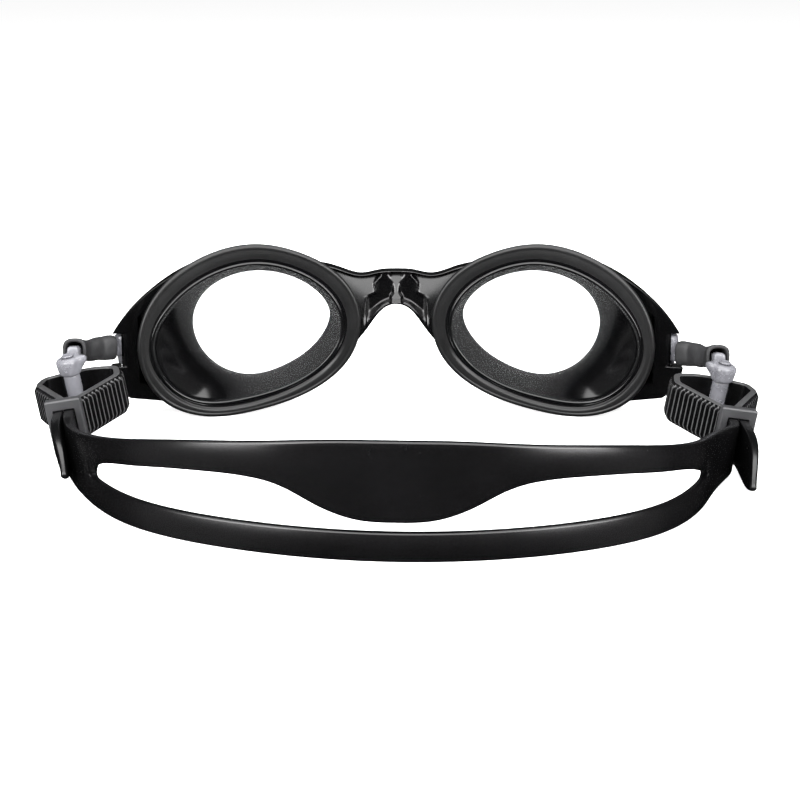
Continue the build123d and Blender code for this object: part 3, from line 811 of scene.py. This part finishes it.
def arm_course(side, start, end, step=0.5):
    """Points of the arm's middle line and their directions, `start` and `end` short of its ends."""
    x, y, z = POST[side]
    dip_c, dip_s = math.cos(ARM_DIP), math.sin(ARM_DIP)
    where = (Vector((0, FACE_Y + y, z + ARM_ABOVE_STRAP)), Vector((1, 0, 0)),
             Vector((0, dip_c, -dip_s)), Vector((0, dip_s, dip_c)))
    pivot_y = (PIVOT_DEPTH - y) / dip_c
    route = rounded_route(
        [(side * PIVOT_X, pivot_y), (side * (PIVOT_X + ARM_OUT[0]), pivot_y + ARM_OUT[1]),
         (x + side * ARM_TURN[0], ARM_TURN[1]), (x, 0)], [ARM_BEND, ARM_BEND], step)
    lengths = chord_stations(route)
    kept = [p for p, s in zip(route, lengths) if start - 0.01 <= s <= lengths[-1] - end + 0.01]
    made = []
    for i, p in enumerate(kept):
        a, b = Vector(kept[max(i - 1, 0)]), Vector(kept[min(i + 1, len(kept) - 1)])
        d = (b - a).normalized()
        made.append((placed(where, p[0], p[1], ARM_HEIGHT / 2), where[1] * -d.y + where[2] * d.x))
    return made, where[3]


def rounded_ring(middle, across, up, half_width, half_height, power, count=40, change=None):
    """A rounded rectangle square to a route. change(angle) grows it."""
    ring = []
    for k in range(count):
        a = 2 * math.pi * k / count
        c, s = math.cos(a), math.sin(a)
        reach = (abs(c) ** power + abs(s) ** power) ** (-1 / power)
        grow = change(a) if change else 0.0
        ring.append(tuple(middle + across * (c * reach * (half_width + grow))
                          + up * (s * reach * (half_height + grow))))
    return ring


def clip_sleeve(name, side):
    """Rubber sleeve: thin arched tube, pinched in the middle, with soft wrinkles and round ends."""
    stations, up = arm_course(side, SLEEVE_START - SLEEVE_REACH, SLEEVE_END)
    stations = [(middle + up * SLEEVE_LIFT, across) for middle, across in stations]
    last = len(stations) - 1
    half_w, half_h = SLEEVE_WIDTH / 2, SLEEVE_HEIGHT / 2 + 0.1

    def growth(a, t):
        above = max(0.0, math.sin(a)) ** 1.5
        saddle = above * (0.4 - 1.0 * math.sin(math.pi * t) ** 2)
        waist = -0.3 * abs(math.cos(a)) * math.sin(math.pi * t)
        creases = 0.08 * math.sin(7.5 * t * math.pi + 2.2 * math.sin(a + side)) * (
            smooth(0, 0.2, t) * smooth(1, 0.8, t))
        return saddle + waist + creases - 0.1

    def ring_at(i, inset=0.0, beyond=0.0):
        """The tube's outline at a station, `inset` under its surface and `beyond` its end."""
        middle, across = stations[i]
        inner = stations[1 if i == 0 else i - 1][0]
        middle = middle + (stations[i][0] - inner).normalized() * beyond
        return rounded_ring(middle, across, up, half_w, half_h, SLEEVE_CORNER,
                            change=lambda a: growth(a, i / last) - inset)

    outer_part, inner_part = 0.35 * SLEEVE_WALL, 0.8 * SLEEVE_WALL
    rings = [ring_at(i) for i in range(last + 1)]
    rings += [ring_at(last, part, 0.22) for part in (outer_part, inner_part)]
    rings += [ring_at(i, SLEEVE_WALL) for i in range(last, -1, -1)]
    rings += [ring_at(0, part, 0.22) for part in (inner_part, outer_part)]
    points, faces = grid(rings, closed_along=True)
    mesh_object(name, points, faces, [sleeve_matte], f"clip_{name.split('_')[-1]}", [name],
                levels=1)


def spun(where, outline_points, count=SPIN, change=None):
    """Rings of a turned shape given as (radius, height) pairs. change(angle, radius, height) grows it."""
    rings = []
    for r, h in outline_points:
        ring = []
        for k in range(count):
            a = 2 * math.pi * k / count
            reach = r + (change(a, r, h) if change else 0.0)
            ring.append(tuple(placed(where, reach * math.cos(a), reach * math.sin(a), h)))
        rings.append(ring)
    return rings


def joined(shells):
    """Points and faces of several shells as one mesh."""
    points, faces = [], []
    for p, f in shells:
        base = len(points)
        points += p
        faces += [tuple(base + i for i in face) for face in f]
    return points, faces


def clip_arm(name, side):
    """Cloudy arm: barrel on the pin, rounded bar, and a collar with a pointed ear."""
    stations, up = arm_course(side, 0.4, 1.6)
    bar = [rounded_ring(m, a, up, ARM_WIDTH / 2 * k, ARM_HEIGHT / 2 * k, 4, 24)
           for (m, a), k in zip(stations, [0.86, 0.97] + [1] * (len(stations) - 4) + [0.97, 0.86])]
    pin = (Vector((side * PIVOT_X, FACE_Y + PIVOT_DEPTH, 0)), Vector((1, 0, 0)),
           Vector((0, 1, 0)), Vector((0, 0, 1)))
    low, high = BARREL_Z
    barrel = spun(pin, [(PIN_R, low), (1.5, low), (1.6, 16.6), (BARREL_R - 0.2, 17.0),
                        (BARREL_R, 17.4), (BARREL_R, high - 1.3), (BARREL_R - 0.4, high - 0.7),
                        (1.5, high - 0.5), (1.4, high), (PIN_R, high)], 40)
    where = post_frame(side)
    foot, top = COLLAR_GAP, COLLAR_GAP + COLLAR_HEIGHT
    ear_at = math.radians(8) if side < 0 else math.radians(172)

    def ear(a, r, h):
        off = abs((a - ear_at + math.pi) % (2 * math.pi) - math.pi)
        high_part = smooth(foot + 1.2, top - 1.6, h) * (r > 2.2)
        low_flare = 0.15 * math.sin(3 * a + side)
        return 1.9 * high_part * max(0.0, 1 - off / 0.62) ** 1.25 + low_flare * (r > 2.6)

    bore = NECK_R + NECK_FIT
    collar = spun(where, [(bore, foot), (2.5, foot), (2.85, foot + 0.25), (3.02, foot + 1.0),
                          (COLLAR_R - 0.12, top - 2.2), (COLLAR_R - 0.05, top - 1.3),
                          (COLLAR_R - 0.25, top - 0.6), (COLLAR_R - 0.8, top - 0.15), (2.0, top),
                          (bore, top)], SPIN, ear)
    shells = [grid(bar, caps=True), grid(barrel, closed_along=True), grid(collar, closed_along=True)]
    points, faces = joined(shells)
    mesh_object(name, points, faces, [clip_cloudy], f"clip_{name.split('_')[-1]}", [name],
                levels=1)


def strap_post(name, side):
    """Post: foot, shank with a slight taper, neck through the collar, and a riveted head."""
    where = post_frame(side)
    shank_top = COLLAR_GAP - NECK_FIT
    shank_low = COLLAR_GAP - RIBBED_WIDTH - 2 * COLLAR_GAP
    head = COLLAR_GAP + COLLAR_HEIGHT + NECK_FIT
    shape = [
        (0.01, shank_low - 1.3), (FOOT_R - 0.4, shank_low - 1.3), (FOOT_R, shank_low - 0.9),
        (FOOT_R, shank_low - 0.35), (FOOT_R - 0.4, shank_low), (POST_R + 0.1, shank_low + 0.02),
        (POST_R - 0.05, shank_low + 0.4), (POST_R - 0.08, shank_low + 5.5),
        (POST_R, shank_top - 1.2), (POST_R, shank_top - 0.25), (POST_R - 0.2, shank_top),
        (NECK_R, shank_top), (NECK_R, head), (HEAD_R - 0.15, head), (HEAD_R, head + 0.15),
        (HEAD_R - 0.08, head + 0.5), (HEAD_R - 0.4, head + 0.62), (HEAD_R - 0.62, head + 0.45),
        (0.5, head + 0.38), (0.01, head + 0.42),
    ]
    points, faces = grid(spun(where, shape), caps=True)
    mesh_object(name, points, faces, [clip_cloudy], f"post_{name.split('_')[-1]}", [name],
                levels=1)


for side_name, side in SIDES.items():
    clip_arm(f"clip_arm_{side_name}", side)
    clip_sleeve(f"clip_sleeve_{side_name}", side)
    strap_post(f"strap_post_{side_name}", side)

# ---- Nose bridge ---------------------------------------------------------------------------------
BRIDGE_TOP = [(0, 37.6), (4.5, 37.4), (9.5, 36.6), (16.5, 38.8), (23.0, 40.4)]
BRIDGE_UNDER = [(0, 28.1), (4.4, 26.0), (8.0, 21.2), (12.4, 16.0)]
BRIDGE_BACK_RISE = 11.6
BRIDGE_FRONT_RISE = 18.6
BRIDGE_RADIUS = 90.0
FRAME_BACK_AT = 9.0
FRAME_FRONT_AT = -2.2
FRAME_WALL = 2.0
FRAME_FRONT = 6.0
FRAME_RIM = 1.2
UNDER_FRAME = 0.5
END_TOP = 22.0
END_UNDER = 12.4
FACE_SPAN = (0.05, 0.93)
ring_samples = [opening_at(k * CORNERS / 360) for k in range(360)]


def even_profile(points):
    """The same height on both sides of the middle."""
    mirrored = [(-x, z) for x, z in reversed(points[1:])] + points
    return profile(mirrored)


def clear_of_frame(point):
    """Moves a point that lies inside a frame's ring out to just under the ring's surface."""
    side = 1 if point.x > 0 else -1
    c, s = math.cos(WRAP), math.sin(WRAP)
    dx, dy = point.x - side * LENS_X, point.y - FACE_Y - LENS_DEPTH
    x = side * (dx * c - side * dy * s)
    back = -(side * dx * s + dy * c)
    y = point.z - LENS_Z
    share = min(max((back - FRAME_FRONT_AT) / (FRAME_BACK_AT - FRAME_FRONT_AT), 0), 1)
    reach = math.hypot(x, y)
    angle = math.atan2(y, x)
    best = min((abs((math.atan2(b, a) - angle + math.pi) % (2 * math.pi) - math.pi), (a, b))
               for a, b in ring_samples)[1]
    wall = math.hypot(*best) + mix(FRAME_FRONT, SEAL_WALL + FRAME_WALL + FRAME_RIM, share) - UNDER_FRAME
    if reach >= wall:
        return point
    x, y = x * wall / reach, y * wall / reach
    return Vector(cup_point(side, x, y, back))




def nose_bridge():
    """Glossy saddle: raised side panels, two hollows, a middle rib and a rolled lower lip."""
    over = even_profile(BRIDGE_TOP)
    under = even_profile(BRIDGE_UNDER)
    columns, rows, roll = 96, 30, 8
    first, last = FACE_SPAN
    thick = BRIDGE_FRONT_RISE - BRIDGE_BACK_RISE
    rings = []
    for i in range(columns + 1):
        u = 2 * i / columns - 1
        tx, bx = END_TOP * u, END_UNDER * u
        top = Vector((tx, 0, over(tx)))
        base = Vector((bx, 0, under(bx)))
        ring = []

        def at(v, depth):
            """A point between the upper and lower edge, `depth` in front of the back face."""
            p = top.lerp(base, v)
            back = FACE_Y + BRIDGE_BACK_RISE - BRIDGE_RADIUS
            p.y = back + math.sqrt(BRIDGE_RADIUS**2 - p.x**2) + depth
            return p

        # back face: the middle rib, a hollow on each side of it, and the raised panels
        for k in range(rows + 1):
            v = mix(first, last, k / rows)
            p = at(v, 0)
            x, z = abs(p.x), p.z
            fold = 3.7 + 1.7 * smooth(36.5, 34.0, z) + 2.4 * smooth(31.8, 30.0, z)
            rib = mix(0.8, 2.0, smooth(33.5, 37.0, z)) + 0.7 * smooth(31.8, 30.3, z)
            hollow = smooth(fold + 0.5, fold - 0.5, x) * smooth(rib - 0.35, rib + 0.45, x)
            hollow *= smooth(0.0, 0.1, v) * smooth(last, 0.76, v)
            raised = max(smooth(fold, fold + 0.9, x), 1 - smooth(rib - 0.35, rib + 0.45, x))
            panel = raised * (1.4 - 4.6 * (1 - v) ** 1.3)
            lip = 0.5 * smooth(0.78, 0.9, v)
            p.y += 1.15 * hollow - panel * 0.8 - lip + 0.5
            ring.append(p)
        # rolled lower edge, crowned front face, and rolled upper edge
        for k in range(1, roll):
            a = math.pi * k / roll
            ring.append(at(mix(last, 1.0, math.sin(a)), mix(0, thick, (1 - math.cos(a)) / 2)))
        for k in range(rows + 1):
            v = mix(last, first, k / rows)
            ring.append(at(v, thick + 0.35 * math.sin(math.pi * v) - 0.35))
        for k in range(1, roll):
            a = math.pi * k / roll
            ring.append(at(mix(first, 0.0, math.sin(a)), mix(thick - 0.35, 0.5, (1 - math.cos(a)) / 2)))
        rings.append([tuple(clear_of_frame(p)) for p in ring])
    points, faces = grid(rings, caps=True)
    mesh_object("nose_bridge", points, faces, [bridge_gloss], "goggles", ["nose_bridge"])


nose_bridge()


# ---- Floor, light and camera, in metres ----------------------------------------------------------
FLOOR_REACH = 4.0
DOME_RADIUS = 3.9
CAMERA_BACK = 494.29     # millimetres behind the face
CAMERA_HEIGHT = 0.1277


def paper(name, glow):
    """Plain pale card, with a little light of its own so that shadows on it stay soft."""
    made = bpy.data.materials.new(name)
    made.use_nodes = True
    shader = made.node_tree.nodes["Principled BSDF"]
    shader.inputs["Base Color"].default_value = (0.93, 0.93, 0.93, 1)
    shader.inputs["Roughness"].default_value = 0.9
    shader.inputs["Specular IOR Level"].default_value = 0.1
    shader.inputs["Emission Color"].default_value = (1, 1, 1, 1)
    shader.inputs["Emission Strength"].default_value = glow
    return made


def stage_floor():
    """A plain pale sheet under the goggles. The gloss mirrors the world's light instead of it."""
    reach = FLOOR_REACH
    corners = [(-reach, -reach, 0), (reach, -reach, 0), (reach, reach, 0), (-reach, reach, 0)]
    mesh = bpy.data.meshes.new("floor")
    mesh.from_pydata(corners, [], [(0, 1, 2, 3)])
    made = bpy.data.objects.new("floor", mesh)
    bpy.context.scene.collection.objects.link(made)
    mesh.materials.append(paper("floor_paper", 0.85))
    made.visible_glossy = False


def stage_dome():
    """Pale surroundings, seen only directly and through clear parts."""
    mesh = bpy.data.meshes.new("dome")
    work = bmesh.new()
    bmesh.ops.create_uvsphere(work, u_segments=48, v_segments=24, radius=DOME_RADIUS)
    work.to_mesh(mesh)
    work.free()
    made = bpy.data.objects.new("dome", mesh)
    bpy.context.scene.collection.objects.link(made)
    mesh.materials.append(paper("dome_paper", 1.0))
    made.visible_glossy = False
    made.visible_diffuse = False
    made.visible_shadow = False


def area_light(name, place, size, power, aim=(0, 0, 0)):
    """A rectangular soft box that faces `aim`."""
    data = bpy.data.lights.new(name, "AREA")
    data.shape = "RECTANGLE"
    data.size, data.size_y = size
    data.energy = power
    lamp = bpy.data.objects.new(name, data)
    bpy.context.scene.collection.objects.link(lamp)
    lamp.location = place
    lamp.rotation_euler = (Vector(aim) - Vector(place)).to_track_quat("-Z", "Y").to_euler()


def studio_world():
    """What the gloss mirrors: a bright sky above the wearer's side, a far strip, and two bright sides."""
    world = bpy.data.worlds.new("studio")
    bpy.context.scene.world = world
    world.use_nodes = True
    tree = world.node_tree
    direction = tree.nodes.new("ShaderNodeTexCoord")
    parts = tree.nodes.new("ShaderNodeSeparateXYZ")
    tree.links.new(direction.outputs["Generated"], parts.inputs["Vector"])
    x, y, z = (parts.outputs[axis] for axis in "XYZ")

    def ramp(source, low, high, to_low, to_high):
        """Light that rises smoothly with one direction."""
        node = tree.nodes.new("ShaderNodeMapRange")
        node.interpolation_type = "SMOOTHSTEP"
        for key, value in (("From Min", low), ("From Max", high), ("To Min", to_low),
                           ("To Max", to_high)):
            node.inputs[key].default_value = value
        tree.links.new(source, node.inputs["Value"])
        return node.outputs["Result"]

    def combined(operation, *values):
        """A sum or other operation on numbers and directions."""
        node = tree.nodes.new("ShaderNodeMath")
        node.operation = operation
        for socket, value in zip(node.inputs, values):
            if isinstance(value, float):
                socket.default_value = value
            else:
                tree.links.new(value, socket)
        return node.outputs["Value"]

    towards_key = combined("ADD", combined("MULTIPLY", y, -0.55), combined("MULTIPLY", z, 0.835))
    sky = ramp(towards_key, 0.2, 0.65, 0.02, 2.0)
    strip = combined("MULTIPLY", ramp(y, 0.5, 0.9, 0.0, 1.2), ramp(z, -0.02, 0.1, 0.0, 1.0))
    strip = combined("MULTIPLY", strip, ramp(z, 0.28, 0.42, 1.0, 0.0))
    sideways = combined("ABSOLUTE", x)
    sides = combined("MULTIPLY", ramp(sideways, 0.5, 0.8, 0.02, 4.5), ramp(y, -0.15, 0.3, 1.0, 0.1))
    light = combined("MAXIMUM", combined("MAXIMUM", sky, strip), sides)
    tree.links.new(light, tree.nodes["Background"].inputs["Strength"])


stage_floor()
stage_dome()
studio_world()
area_light("overhead", (0, -0.05, 0.8), (1.3, 0.7), 14)
area_light("key", (0, -0.72, 0.62), (1.5, 0.6), 17)
for name, side in SIDES.items():
    area_light(f"{name}_box", (side * 0.72, -0.6, 0.36), (0.5, 0.5), 9, (0, 0.02, 0.02))

camera_data = bpy.data.cameras.new("camera")
camera_data.lens = 85
camera_data.sensor_width = 36
camera = bpy.data.objects.new("camera", camera_data)
bpy.context.scene.collection.objects.link(camera)
camera.location = (0.001, (FACE_Y - CAMERA_BACK) * MM, CAMERA_HEIGHT)
camera.rotation_euler = (math.radians(76), 0, 0)
bpy.context.scene.camera = camera
bpy.context.scene.view_settings.view_transform = "Standard"
